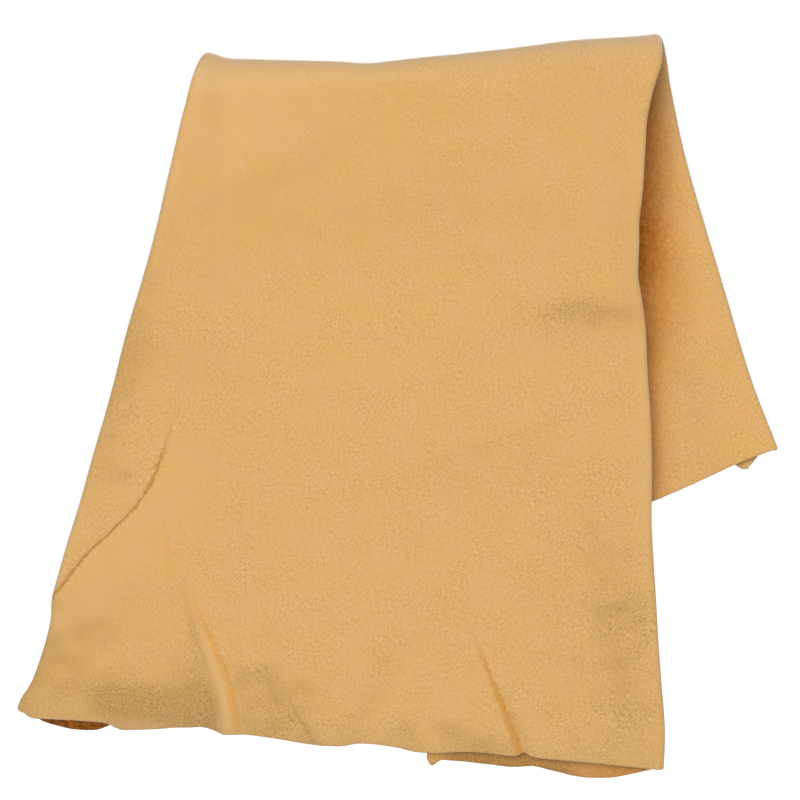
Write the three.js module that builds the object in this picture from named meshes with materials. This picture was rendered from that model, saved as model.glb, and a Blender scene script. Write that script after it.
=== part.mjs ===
// A chamois leather hung over a rail. Its side margins are turned under, so each
// flap is a face panel with a margin behind either side. The skin is one piece of
// leather: it is divided here along its folds, so that each flap can be lifted.
// Millimetres, +Z up, X along the rail, -Y towards the longer, front flap.
// The origin is on the axis of the rail. A drop is a depth below that axis.

import * as THREE from 'three';

// The leather and its side folds
const LEATHER = 1.2; // thickness of the skin
const CUT = 0.3; // gap where two panels of the skin meet
const FOLD_RADIUS = 2.8; // side folds, to the middle of the leather
const LAYER_AIR = 0.8; // least air between a panel and the margin behind it

// The rail and the crown of the skin that lies over it
const RAIL_RADIUS = 12.5;
const RAIL_AIR = 1.6; // between the rail and the single leather at the dip
const RIDGE_LEFT = -101; // outer edges of the side folds on the ridge
const RIDGE_RIGHT = 127;
const RIDGE_DIP_X = -18; // lowest place of the ridge, between the two margins
const RIDGE_DIP_ROUND = 9; // rounding of that dip
const RIDGE_SLOPE = 0.072; // rise of the ridge away from the dip
const LEFT_PUFF = 3.4; // extra rise over the stiff left side fold
const LEFT_PUFF_WIDTH = 14;
const CREASE_DROP = 8; // creases that the flaps turn on

// Front flap: its side edges, hem and margins
const FRONT_TOP_LEFT = -113; // side edges at the crease
const FRONT_TOP_RIGHT = 118.7;
const FRONT_DROP_LEFT = 309.5; // line of the hem at its ends
const FRONT_DROP_RIGHT = 347.5;
const FRONT_HEM_LEFT = -211;
const FRONT_HEM_RIGHT = 119.3;
const LEFT_KINK_X = -188.5; // where the left edge turns out to the corner
const LEFT_KINK_RISE = 68; // and how far above the hem line
const LEFT_KINK_BEND = 24; // height of the steeper stretch under the kink
const LEFT_KINK_STEP = 5; // and how far that stretch leans out
const CORNER_RISE = 6.5; // rounding of the hem's left corner
const CORNER_WIDTH = 7;
const FRONT_WAIST_RIGHT = 111; // narrowest place of the right edge
const FRONT_WAIST_DROP = 85;
const FRONT_LEFT_FREE_TOP = -32; // free edges of the margins, at the crease
const FRONT_RIGHT_FREE_TOP = -4;
const FRONT_LEFT_FREE_HEM = -112; // and at the hem
const FRONT_RIGHT_FREE_HEM = -1;
const LEFT_TONGUE = 5; // the left margin shows under the hem by this much
const LEFT_TONGUE_X = -180;
const LEFT_TONGUE_WIDTH = 11;
const LEFT_MARGIN_SHORT = 16; // and is shorter than the panel at its free edge
const RIGHT_MARGIN_LONG = 7.5; // the right margin hangs lower than the panel
const RIGHT_MARGIN_STEP = 9; // along this much of its width
const FLAP_DEPTH = 19; // face panels stand this far from the rail's middle
const SETTLE = 150; // drop over which the crown's form dies out in a flap

// Back flap
const BACK_TOP_LEFT = -93;
const BACK_TOP_RIGHT = 133.5;
const BACK_DROP_LEFT = 262;
const BACK_DROP_RIGHT = 187.5;
const BACK_HEM_LEFT = -47;
const BACK_HEM_RIGHT = 184;
const BACK_RIGHT_SAG = 3.5; // how far the right edge curves in
const BACK_LEFT_FREE_TOP = -30;
const BACK_RIGHT_FREE_TOP = -4;
const BACK_LEFT_FREE_HEM = 22;
const BACK_RIGHT_FREE_HEM = 66;
const BACK_TIP = 5; // the outer panel's tip under the hem
const BACK_TIP_INSET = 19;
const BACK_TIP_WIDTH = 5;

// Folds of the front flap
const PLEAT_TOP_X = -131; // the pleat that stands out above the hem
const PLEAT_TOP_RISE = 106;
const PLEAT_FOOT_X = -100;
const PLEAT_HEIGHT = 5.5;
const PLEAT_WIDTH = 6.5;
const HOLLOW_DEPTH = 3; // hollows on either side of it
const HOLLOW_OFFSET = 18;
const HOLLOW_WIDTH = 9;
const HEM_LIFT = 3; // the hem is drawn up in the left hollow
const GROOVE_TOP_X = 21; // the groove that runs into the hem
const GROOVE_TOP_RISE = 62;
const GROOVE_FOOT_X = 45;
const GROOVE_DEPTH = 3;
const GROOVE_WIDTH = 5;
const VALLEY_TOP_X = -123; // the curved valley above the left corner
const VALLEY_TOP_RISE = 164;
const VALLEY_PULL_X = -136;
const VALLEY_PULL_RISE = 118;
const VALLEY_DEPTH = 3;
const VALLEY_WIDTH = 7;
const LOBE_HEIGHT = 2.5; // the skin bulges over the valley
const LOBE_OFFSET = 15;
const LOBE_WIDTH = 11;
const BELLY = 3; // slight bulge of both flaps
const HEM_ROLL = 4; // the front hem turns in
const HEM_ROLL_HEIGHT = 20;
const MARGIN_FOLLOW = 0.35; // share of these folds that a margin takes up
const MARGIN_GRIP = 0.35; // and the share of its width where it still follows its fold

const HIDE = new THREE.MeshStandardMaterial({ color: 0xdeae6e, roughness: 0.95, metalness: 0 });

const clamp = (t) => Math.min(1, Math.max(0, t));
const mix = (a, b, t) => a + (b - a) * t;
const ease = (t) => clamp(t) ** 2 * (3 - 2 * clamp(t));
const bell = (d, width) => Math.exp(-((d / width) ** 2));

// A smooth curve through [place, value] knots; flat beyond its ends.
function curve(knots) {
  const slope = knots.map((k, i) => {
    const a = knots[Math.max(0, i - 1)];
    const b = knots[Math.min(knots.length - 1, i + 1)];
    return (b[1] - a[1]) / (b[0] - a[0]);
  });
  return (place) => {
    if (place <= knots[0][0]) return knots[0][1];
    let i = 0;
    while (i < knots.length - 1 && place > knots[i + 1][0]) i += 1;
    if (i === knots.length - 1) return knots[i][1];
    const span = knots[i + 1][0] - knots[i][0];
    const t = (place - knots[i][0]) / span;
    const rise = knots[i + 1][1] - knots[i][1];
    const bendIn = slope[i] * span - rise;
    const bendOut = rise - slope[i + 1] * span;
    return knots[i][1] + t * rise + t * (1 - t) * ((1 - t) * bendIn + t * bendOut);
  };
}

const frontLeft = curve([
  [CREASE_DROP, FRONT_TOP_LEFT],
  [FRONT_DROP_LEFT - LEFT_KINK_RISE, LEFT_KINK_X],
  [FRONT_DROP_LEFT - LEFT_KINK_RISE + LEFT_KINK_BEND, LEFT_KINK_X - LEFT_KINK_STEP],
  [FRONT_DROP_LEFT - CORNER_RISE, FRONT_HEM_LEFT],
]);
const frontRight = curve([
  [CREASE_DROP, FRONT_TOP_RIGHT],
  [FRONT_WAIST_DROP, FRONT_WAIST_RIGHT],
  [FRONT_DROP_RIGHT, FRONT_HEM_RIGHT],
]);
const backLeft = curve([
  [CREASE_DROP, BACK_TOP_LEFT],
  [BACK_DROP_LEFT, BACK_HEM_LEFT],
]);
const backRight = curve([
  [CREASE_DROP, BACK_TOP_RIGHT],
  [
    (CREASE_DROP + BACK_DROP_RIGHT) / 2,
    (BACK_TOP_RIGHT + BACK_HEM_RIGHT) / 2 - BACK_RIGHT_SAG,
  ],
  [BACK_DROP_RIGHT, BACK_HEM_RIGHT],
]);
const crownLeft = curve([[-1, FRONT_TOP_LEFT], [0, RIDGE_LEFT], [1, BACK_TOP_LEFT]]);
const crownRight = curve([[-1, FRONT_TOP_RIGHT], [0, RIDGE_RIGHT], [1, BACK_TOP_RIGHT]]);

// Middle of the leather over the rail, at x, with the left side fold's edge at left.
const DIP_RADIUS = RAIL_RADIUS + RAIL_AIR + LEATHER / 2;
function crownRadius(x, left) {
  const away = Math.hypot(x - RIDGE_DIP_X, RIDGE_DIP_ROUND) - RIDGE_DIP_ROUND;
  const puff = LEFT_PUFF * bell(Math.max(0, x - left), LEFT_PUFF_WIDTH);
  return DIP_RADIUS + RIDGE_SLOPE * away + puff;
}

// Places across a panel. A column is on the face, round a side fold or in a margin.
const FOLD_REACH = FOLD_RADIUS + LEATHER / 2;
function across(column, left, right, free) {
  const faceLeft = left + FOLD_REACH;
  const faceRight = right - FOLD_REACH;
  if (column.part === 'face') {
    const x = mix(faceLeft, faceRight, column.at);
    return { x, inset: 0, faceX: x, edge: x, share: 0 };
  }
  const edge = column.side < 0 ? faceLeft : faceRight;
  if (column.part === 'fold') {
    const turn = column.at * Math.PI;
    const x = edge + column.side * FOLD_RADIUS * Math.sin(turn);
    return { x, inset: FOLD_RADIUS * (1 - Math.cos(turn)), faceX: edge, edge, share: 0 };
  }
  const x = mix(edge - column.side * CUT, free, column.at);
  return { x, inset: 2 * FOLD_RADIUS, faceX: x, edge, share: column.at };
}

// The margin lies close to the panel where both are drawn over the rail.
const marginInset = (inset, share, drawn) =>
  share > 0 ? mix(inset, LEATHER + LAYER_AIR, ease(share) * drawn) : inset;

// Hem of the front panel and of the margins, as drops.
const frontWidth = FRONT_HEM_RIGHT - FRONT_HEM_LEFT;
const frontHemLine = (x) =>
  mix(FRONT_DROP_LEFT, FRONT_DROP_RIGHT, (x - FRONT_HEM_LEFT) / frontWidth);
function frontHem(column) {
  if (column.part !== 'margin') {
    let at = column.at;
    if (column.part === 'fold') at = column.side < 0 ? 0 : 1;
    const x = mix(FRONT_HEM_LEFT, FRONT_HEM_RIGHT, at);
    const corner = CORNER_RISE * Math.exp(-(x - FRONT_HEM_LEFT) / CORNER_WIDTH);
    const lift = HEM_LIFT * bell(x - PLEAT_FOOT_X + HOLLOW_OFFSET, HOLLOW_WIDTH);
    return frontHemLine(x) - corner - lift;
  }
  if (column.side < 0) {
    const x = mix(FRONT_HEM_LEFT, FRONT_LEFT_FREE_HEM, column.at);
    const corner = CORNER_RISE * Math.exp(-(x - FRONT_HEM_LEFT) / CORNER_WIDTH);
    const tongue = LEFT_TONGUE * bell(x - LEFT_TONGUE_X, LEFT_TONGUE_WIDTH) * ease(column.at * 8);
    return frontHemLine(x) - corner + tongue - LEFT_MARGIN_SHORT * ease(column.at * 1.6 - 0.6);
  }
  const x = mix(FRONT_HEM_RIGHT, FRONT_RIGHT_FREE_HEM, column.at);
  return frontHemLine(x) + RIGHT_MARGIN_LONG * ease((FRONT_HEM_RIGHT - x) / RIGHT_MARGIN_STEP);
}

const backWidth = BACK_HEM_RIGHT - BACK_HEM_LEFT;
const backHemLine = (x) => mix(BACK_DROP_LEFT, BACK_DROP_RIGHT, (x - BACK_HEM_LEFT) / backWidth);
function backHem(column) {
  if (column.part === 'margin') {
    const free = column.side < 0 ? BACK_LEFT_FREE_HEM : BACK_RIGHT_FREE_HEM;
    const edge = column.side < 0 ? BACK_HEM_LEFT : BACK_HEM_RIGHT;
    return backHemLine(mix(edge, free, column.at));
  }
  let at = column.at;
  if (column.part === 'fold') at = column.side < 0 ? 0 : 1;
  const x = mix(BACK_HEM_LEFT, BACK_HEM_RIGHT, at);
  return backHemLine(x) + BACK_TIP * bell(x - BACK_HEM_RIGHT + BACK_TIP_INSET, BACK_TIP_WIDTH);
}

// Folds of the front flap: how far the leather stands out at x and drop.
const valleyLine = new THREE.QuadraticBezierCurve(
  new THREE.Vector2(VALLEY_TOP_X, FRONT_DROP_LEFT - VALLEY_TOP_RISE),
  new THREE.Vector2(VALLEY_PULL_X, FRONT_DROP_LEFT - VALLEY_PULL_RISE),
  new THREE.Vector2(LEFT_KINK_X, FRONT_DROP_LEFT - LEFT_KINK_RISE + LEFT_KINK_STEP),
).getPoints(16);

function valleyForm(x, drop) {
  let best = Infinity;
  let side = 1;
  let along = 0;
  for (let i = 0; i < valleyLine.length - 1; i += 1) {
    const a = valleyLine[i];
    const b = valleyLine[i + 1];
    const ux = b.x - a.x;
    const uz = b.y - a.y;
    const t = clamp(((x - a.x) * ux + (drop - a.y) * uz) / (ux * ux + uz * uz));
    const dx = x - a.x - t * ux;
    const dz = drop - a.y - t * uz;
    const d = Math.hypot(dx, dz);
    if (d < best) {
      best = d;
      side = Math.sign(ux * dz - uz * dx) || 1;
      along = (i + t) / (valleyLine.length - 1);
    }
  }
  const strength = ease(along * 2.5);
  const lobe = LOBE_HEIGHT * bell(best * side - LOBE_OFFSET, LOBE_WIDTH);
  return strength * (lobe - VALLEY_DEPTH * bell(best, VALLEY_WIDTH));
}

function frontFolds(x, drop) {
  const line = frontHemLine(x);
  const pleatTop = frontHemLine(PLEAT_FOOT_X) - PLEAT_TOP_RISE;
  const pleat = (drop - pleatTop) / PLEAT_TOP_RISE;
  const beside = x - mix(PLEAT_TOP_X, PLEAT_FOOT_X, clamp(pleat));
  const hollows =
    bell(beside + HOLLOW_OFFSET, HOLLOW_WIDTH) + 0.6 * bell(beside - 1.4 * HOLLOW_OFFSET, 1.5 * HOLLOW_WIDTH);
  const ridge = PLEAT_HEIGHT * bell(beside, PLEAT_WIDTH) - HOLLOW_DEPTH * hollows;
  const grooveTop = frontHemLine(GROOVE_FOOT_X) - GROOVE_TOP_RISE;
  const groove = (drop - grooveTop) / GROOVE_TOP_RISE;
  const cut = GROOVE_DEPTH * bell(x - mix(GROOVE_TOP_X, GROOVE_FOOT_X, clamp(groove)), GROOVE_WIDTH);
  const belly = BELLY * Math.sin(Math.PI * clamp((drop - CREASE_DROP) / (line - CREASE_DROP))) ** 2;
  return belly + ease(pleat) * ridge - ease(groove) * cut + valleyForm(x, drop);
}

// The hem turns in, and the margins with it.
const hemRoll = (x, drop) =>
  HEM_ROLL * clamp((drop - frontHemLine(x) + HEM_ROLL_HEIGHT) / HEM_ROLL_HEIGHT) ** 2;

// Depth of a face panel below the crease: the crown's form dies out downwards.
function flapDepth(x, left, drop) {
  const held = 1 - ease((drop - CREASE_DROP) / SETTLE);
  return mix(FLAP_DEPTH, crownRadius(x, left), held);
}

function frontPoint(column, row) {
  const top = CREASE_DROP + CUT / 2;
  const hem = frontHem(column);
  const drop = mix(top, hem, row);
  const left = frontLeft(drop);
  const right = frontRight(drop);
  const down = (drop - top) / (frontHemLine(0) - top);
  const free =
    column.side < 0
      ? mix(FRONT_LEFT_FREE_TOP, FRONT_LEFT_FREE_HEM, down)
      : mix(FRONT_RIGHT_FREE_TOP, FRONT_RIGHT_FREE_HEM, down);
  const place = across(column, left, right, free);
  const x = place.faceX;
  const drawn = 1 - ease((drop - CREASE_DROP) / SETTLE);
  const inset = marginInset(place.inset, place.share, drawn);
  const loose = mix(1, MARGIN_FOLLOW, ease(place.share / MARGIN_GRIP));
  const foldX = mix(place.edge, x, ease(place.share / MARGIN_GRIP));
  const form = loose * frontFolds(column.part === 'margin' ? foldX : x, drop) - hemRoll(x, drop);
  return new THREE.Vector3(place.x, inset - form - flapDepth(x, left, drop), -drop);
}

function backPoint(column, row) {
  const top = CREASE_DROP + CUT / 2;
  const hem = backHem(column);
  const drop = mix(top, hem, row);
  const left = backLeft(drop);
  const right = backRight(drop);
  const low = column.side < 0 ? BACK_DROP_LEFT : BACK_DROP_RIGHT;
  const down = (drop - top) / (low - top);
  const free =
    column.side < 0
      ? mix(BACK_LEFT_FREE_TOP, BACK_LEFT_FREE_HEM, down)
      : mix(BACK_RIGHT_FREE_TOP, BACK_RIGHT_FREE_HEM, down);
  const place = across(column, left, right, free);
  const x = place.faceX;
  const drawn = 1 - ease((drop - CREASE_DROP) / SETTLE);
  const inset = marginInset(place.inset, place.share, drawn);
  const bulge = BELLY * Math.sin(Math.PI * clamp((drop - top) / (backHemLine(x) - top))) ** 2;
  return new THREE.Vector3(place.x, flapDepth(x, left, drop) + bulge - inset, -drop);
}

// Over the rail. A row is an angle from the top, or a drop on the front or back side.
const HALF_ROUND = CREASE_DROP + (DIP_RADIUS * Math.PI) / 2;
function crownPoint(column, row) {
  const onSide = Math.abs(row.angle) === Math.PI / 2;
  const along = (Math.abs(row.angle) * DIP_RADIUS + (onSide ? row.drop : 0)) / HALF_ROUND;
  const s = Math.sign(row.angle) * along;
  const free =
    column.side < 0
      ? mix(FRONT_LEFT_FREE_TOP, BACK_LEFT_FREE_TOP, (s + 1) / 2)
      : mix(FRONT_RIGHT_FREE_TOP, BACK_RIGHT_FREE_TOP, (s + 1) / 2);
  const place = across(column, crownLeft(s), crownRight(s), free);
  const x = place.faceX;
  const radius = crownRadius(x, crownLeft(s)) - marginInset(place.inset, place.share, 1);
  return new THREE.Vector3(
    place.x,
    radius * Math.sin(row.angle),
    radius * Math.cos(row.angle) - row.drop,
  );
}

// A sheet of leather of even thickness round a grid of points on its middle.
const NEAR = 0.01; // share of a panel, fold or margin over which its slope is taken
function sheet(columns, rows, point) {
  const grid = rows.map((row) => columns.map((column) => point(column, row)));
  const wide = columns.length;
  const high = rows.length;
  const positions = [];
  for (const side of [0.5, -0.5]) {
    for (let j = 0; j < high; j += 1) {
      for (let i = 0; i < wide; i += 1) {
        const run = grid[j][Math.min(wide - 1, i + 1)].clone().sub(grid[j][Math.max(0, i - 1)]);
        const u = point({ ...columns[i], at: columns[i].at + NEAR }, rows[j]);
        u.sub(point({ ...columns[i], at: columns[i].at - NEAR }, rows[j]));
        if (u.dot(run) < 0) u.negate();
        const v = grid[Math.min(high - 1, j + 1)][i].clone().sub(grid[Math.max(0, j - 1)][i]);
        const normal = u.cross(v).normalize();
        const p = grid[j][i].clone().addScaledVector(normal, side * LEATHER);
        positions.push(p.x, p.y, p.z);
      }
    }
  }
  const front = (i, j) => j * wide + i;
  const back = (i, j) => wide * high + j * wide + i;
  const faces = [];
  for (let j = 0; j < high - 1; j += 1) {
    for (let i = 0; i < wide - 1; i += 1) {
      faces.push(front(i, j), front(i + 1, j), front(i + 1, j + 1));
      faces.push(front(i, j), front(i + 1, j + 1), front(i, j + 1));
      faces.push(back(i, j), back(i + 1, j + 1), back(i + 1, j));
      faces.push(back(i, j), back(i, j + 1), back(i + 1, j + 1));
    }
  }
  const rim = [];
  for (let i = 0; i < wide - 1; i += 1) rim.push([i, 0]);
  for (let j = 0; j < high - 1; j += 1) rim.push([wide - 1, j]);
  for (let i = wide - 1; i > 0; i -= 1) rim.push([i, high - 1]);
  for (let j = high - 1; j > 0; j -= 1) rim.push([0, j]);
  rim.forEach((start, k) => {
    const end = rim[(k + 1) % rim.length];
    faces.push(front(...end), front(...start), back(...start));
    faces.push(front(...end), back(...start), back(...end));
  });
  const geometry = new THREE.BufferGeometry();
  geometry.setAttribute('position', new THREE.Float32BufferAttribute(positions, 3));
  geometry.setIndex(faces);
  geometry.computeVertexNormals();
  return geometry;
}

// Even steps from a to b, in one or more stretches that meet.
function steps(...stretches) {
  const places = [stretches[0][0]];
  for (const [a, b, count] of stretches) {
    for (let k = 1; k <= count; k += 1) places.push(mix(a, b, k / count));
  }
  return places;
}

const FOLD_STEPS = 4;
function panelColumns(facePlaces) {
  const turn = steps([0, 1, FOLD_STEPS]).slice(1);
  const left = turn.map((at) => ({ part: 'fold', side: -1, at })).reverse();
  const right = turn.map((at) => ({ part: 'fold', side: 1, at }));
  return [...left, ...facePlaces.map((at) => ({ part: 'face', side: 0, at })), ...right];
}
function marginColumns(side, count) {
  const columns = steps([0, 1, count]).map((at) => ({ part: 'margin', side, at }));
  return side < 0 ? columns.reverse() : columns;
}

const CROWN_STEPS = 12;
const creaseRow = CREASE_DROP - CUT / 2;
const crownRows = [
  { angle: -Math.PI / 2, drop: creaseRow },
  ...steps([-Math.PI / 2, Math.PI / 2, CROWN_STEPS]).map((angle) => ({ angle, drop: 0 })),
  { angle: Math.PI / 2, drop: creaseRow },
];
const frontRows = steps([0, 0.03, 1], [0.03, 0.5, 3], [0.5, 0.84, 5], [0.84, 1, 5]);
const backRows = steps([0, 0.04, 1], [0.04, 0.85, 7], [0.85, 1, 3]);
const frontFace = steps([0, 0.22, 6], [0.22, 0.42, 9], [0.42, 0.7, 6], [0.7, 0.82, 6], [0.82, 1, 4]);
const dipFace = steps([0, 0.24, 4], [0.24, 0.52, 8], [0.52, 1, 5]);

const group = new THREE.Group();
function add(name, columns, rows, point) {
  const mesh = new THREE.Mesh(sheet(columns, rows, point), HIDE);
  mesh.name = name;
  group.add(mesh);
}

// The crown over the rail
add('top_fold', panelColumns(dipFace), crownRows, crownPoint);
add('top_left_margin', marginColumns(-1, 5), crownRows, crownPoint);
add('top_right_margin', marginColumns(1, 8), crownRows, crownPoint);

// The front flap
add('front_panel', panelColumns(frontFace), frontRows, frontPoint);
add('front_left_margin', marginColumns(-1, 8), frontRows, frontPoint);
add('front_right_margin', marginColumns(1, 9), frontRows, frontPoint);

// The back flap, whose leather faces the other way round
const turned = (columns) => [...columns].reverse();
add('back_panel', turned(panelColumns(dipFace)), backRows, backPoint);
add('back_left_margin', turned(marginColumns(-1, 6)), backRows, backPoint);
add('back_right_margin', turned(marginColumns(1, 8)), backRows, backPoint);

export default group;
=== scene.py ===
"""A chamois leather hung over a rail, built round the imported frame.

One skin on one grid of points: its side margins are turned under, it runs up the
front flap, over the rail and down the back flap. Sizes are millimetres until a mesh
is made. A drop is a depth below the rail's axis.
"""

import math

import bpy
import numpy as np
from mathutils import Matrix, Vector


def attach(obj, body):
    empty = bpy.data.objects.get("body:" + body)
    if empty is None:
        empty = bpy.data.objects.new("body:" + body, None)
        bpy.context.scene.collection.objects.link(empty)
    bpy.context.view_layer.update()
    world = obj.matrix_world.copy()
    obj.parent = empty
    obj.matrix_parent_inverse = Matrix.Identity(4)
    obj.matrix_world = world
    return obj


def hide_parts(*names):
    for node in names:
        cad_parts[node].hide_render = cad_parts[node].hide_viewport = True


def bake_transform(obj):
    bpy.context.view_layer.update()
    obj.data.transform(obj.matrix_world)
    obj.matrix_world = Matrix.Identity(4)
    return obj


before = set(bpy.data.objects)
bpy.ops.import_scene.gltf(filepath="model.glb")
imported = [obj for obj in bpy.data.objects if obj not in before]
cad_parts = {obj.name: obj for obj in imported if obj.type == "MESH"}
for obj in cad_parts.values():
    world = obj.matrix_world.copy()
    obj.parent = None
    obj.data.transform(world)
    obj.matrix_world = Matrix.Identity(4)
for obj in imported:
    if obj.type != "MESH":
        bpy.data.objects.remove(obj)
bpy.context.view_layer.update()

MM = 0.001

# The leather, its side folds and the crown over the rail, as in the part's source
LEATHER = 1.2
FOLD_RADIUS = 2.8  # to the middle of the leather
FOLD_REACH = FOLD_RADIUS + LEATHER / 2
LAYER_AIR = 0.8  # least air between a panel and the margin behind it
RAIL_RADIUS = 12.5
RAIL_AIR = 1.6
DIP_RADIUS = RAIL_RADIUS + RAIL_AIR + LEATHER / 2
QUARTER = DIP_RADIUS * math.pi / 2  # along the skin, from the ridge to the rail's side
RIDGE_DIP_X = -18
RIDGE_DIP_ROUND = 9
RIDGE_SLOPE = 0.072
LEFT_PUFF = 3.4  # extra rise over the stiff left side fold
LEFT_PUFF_WIDTH = 14
CREASE_DROP = 8  # creases that the flaps turn on

# The flaps: how they hang, and x of their side edges at the crease and at the hem
FLAP_DEPTH = 19  # from the rail's middle
SETTLE = 150  # drop over which the crown's form dies out in a flap
BELLY = 3
HEM_ROLL_LEFT = 5
HEM_ROLL_RIGHT = 3.2
HEM_ROLL_HEIGHT = 22
FRONT_TOP_LEFT = -112.2
FRONT_TOP_RIGHT = 118.4
FRONT_HEM_LEFT = -211.2
FRONT_HEM_RIGHT = 119.3
FRONT_LINE_LEFT = -211  # the straight line that the front hem follows
FRONT_LINE_DROPS = (309.5, 347.5)
BACK_TOP_LEFT = -93
BACK_TOP_RIGHT = 134.3
BACK_HEM_LEFT = -47
BACK_HEM_RIGHT = 184
BACK_LINE_DROPS = (263.9, 189.4)
BACK_TIP = 6.5  # a small tip that hangs below the back's hem
BACK_TIP_X = 171.5
BACK_TIP_WIDTH = 5

# The margins: x of their free edges, and how they hang
LEFT_FREE_TOP = -32
LEFT_FREE_HEM = -112
RIGHT_FREE_TOP = -4
RIGHT_FREE_HEM = -2.6
BACK_LEFT_FREE_TOP = -30
BACK_LEFT_FREE_HEM = 22
BACK_RIGHT_FREE_HEM = 66
MARGIN_GRIP = 0.35  # share of a margin over which it leaves the form of its fold
MARGIN_FOLLOW = 0.35  # how much of the face's form it has past that
LEFT_LOOP = 17  # the left margin stands off behind the hem, and leaves an opening there
LEFT_LOOP_X = -182
LEFT_LOOP_WIDTH = 26
LEFT_LOOP_DROPS = (250, 312)
LEFT_LOOP_SPREAD = 0.16  # share of the margin over which it comes away
BACK_LOOSE = 19  # the back's right margin hangs loose, towards the front flap
BACK_LOOSE_X = 105
BACK_LOOSE_WIDTH = 45
BACK_LOOSE_DROPS = (92, 152)
BACK_LOOSE_SPREAD = 0.35

# Cut edges of the leather
EDGE_LIP = 0.35  # how far an edge is rounded out
EDGE_THIN = 0.72  # share of the thickness left at an edge
EDGE_TILT = 0.6  # how far the shading turns outwards there


def mix(a, b, t):
    return a + (b - a) * t


def ease(t):
    t = np.clip(t, 0.0, 1.0)
    return t * t * (3.0 - 2.0 * t)


def ramp(value, start, end):
    """0 up to start and 1 past end, smooth between them; end may be the lower one."""
    return ease((value - start) / (end - start))


def bell(distance, width):
    return np.exp(-((distance / width) ** 2))


def spike(distance, width):
    """A peak with a sharp top."""
    return np.exp(-np.abs(distance) / width)


def unit(vectors):
    """Vectors at length 1; a vector of length 0 stays as it is."""
    return vectors / np.maximum(np.linalg.norm(vectors, axis=-1, keepdims=True), 1e-9)


def curve(*knots):
    """A smooth curve through (place, value) knots; flat beyond its ends."""
    places, values = np.array(knots, float).T
    low = np.maximum(np.arange(len(places)) - 1, 0)
    high = np.minimum(np.arange(len(places)) + 1, len(places) - 1)
    slope = (values[high] - values[low]) / (places[high] - places[low])

    def at(place):
        place = np.clip(place, places[0], places[-1])
        i = np.clip(np.searchsorted(places, place, side="right") - 1, 0, len(places) - 2)
        span = places[i + 1] - places[i]
        t = (place - places[i]) / span
        rise = values[i + 1] - values[i]
        bend_in = slope[i] * span - rise
        bend_out = rise - slope[i + 1] * span
        return values[i] + t * rise + t * (1 - t) * ((1 - t) * bend_in + t * bend_out)

    return at


WAVES = 18


def ripples(x, y, length, seed):
    """Smooth seeded waves of about one length, between about -1 and 1."""
    rng = np.random.default_rng(seed)
    total = np.zeros(np.broadcast(x, y).shape)
    for _ in range(WAVES):
        way = rng.uniform(0, 2 * math.pi)
        pitch = 2 * math.pi / (length * rng.uniform(0.65, 1.6))
        phase = rng.uniform(0, 2 * math.pi)
        total += np.cos(pitch * (x * math.cos(way) + y * math.sin(way)) + phase)
    return total * 0.7 / math.sqrt(WAVES)


def steps(*stretches):
    """Even steps over stretches (start, end, count) that meet."""
    places = [np.array([stretches[0][0]], float)]
    for start, end, count in stretches:
        places.append(np.linspace(start, end, count + 1)[1:])
    return np.concatenate(places)


# Side edges of the flaps, by drop
front_left = curve(
    (CREASE_DROP, FRONT_TOP_LEFT), (26.6, -117.4), (42.2, -121.9), (57.8, -126.2), (73.4, -131),
    (89, -136.3), (105, -142.1), (120.7, -147.3), (136.6, -152.1), (152.6, -157.3), (168.6, -162.9),
    (184.7, -168.3), (200.8, -173.7), (217, -179.7), (233.2, -185.3), (247.5, -189.9),
    (257.8, -191.1), (268, -193.9), (278.3, -197.6), (288.6, -201.8), (293.7, -204.8),
    (299, -208.6), (304, FRONT_HEM_LEFT),
)
front_right = curve(
    (CREASE_DROP, FRONT_TOP_RIGHT), (17, 116.5), (29, 115.4), (47, 114.1), (59, 112.7), (66, 111.6),
    (78, 111.3), (95, 110.5), (104, 111.8), (119, 113.5), (144, 114.2), (160, 115), (181, 115.4),
    (198, 115.2), (217, 114.6), (228, 114.8), (248, 115.6), (260, 116.2), (280, 117),
    (300, 118), (321, 119.3), (332, 119.5), (347, 119),
)
back_left = curve((CREASE_DROP, BACK_TOP_LEFT), (262, BACK_HEM_LEFT))
back_right = curve(
    (CREASE_DROP, BACK_TOP_RIGHT), (29, 138.2), (49, 143), (70, 148.7), (91, 154.6), (111, 160.1),
    (153, 171.5), (189, 184.4),
)

# Side edges of the crown, from the front crease (-1) over the ridge (0) to the back crease (1)
crown_left = curve(
    (-1, FRONT_TOP_LEFT), (-0.68, -108.8), (-0.3, -104.2), (0, -101.6), (1, BACK_TOP_LEFT)
)
crown_right = curve(
    (-1, FRONT_TOP_RIGHT), (-0.757, 120.5), (-0.49, 124.4), (0, 126.8), (0.3, 129.6), (0.58, 131.9),
    (1, BACK_TOP_RIGHT),
)

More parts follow.
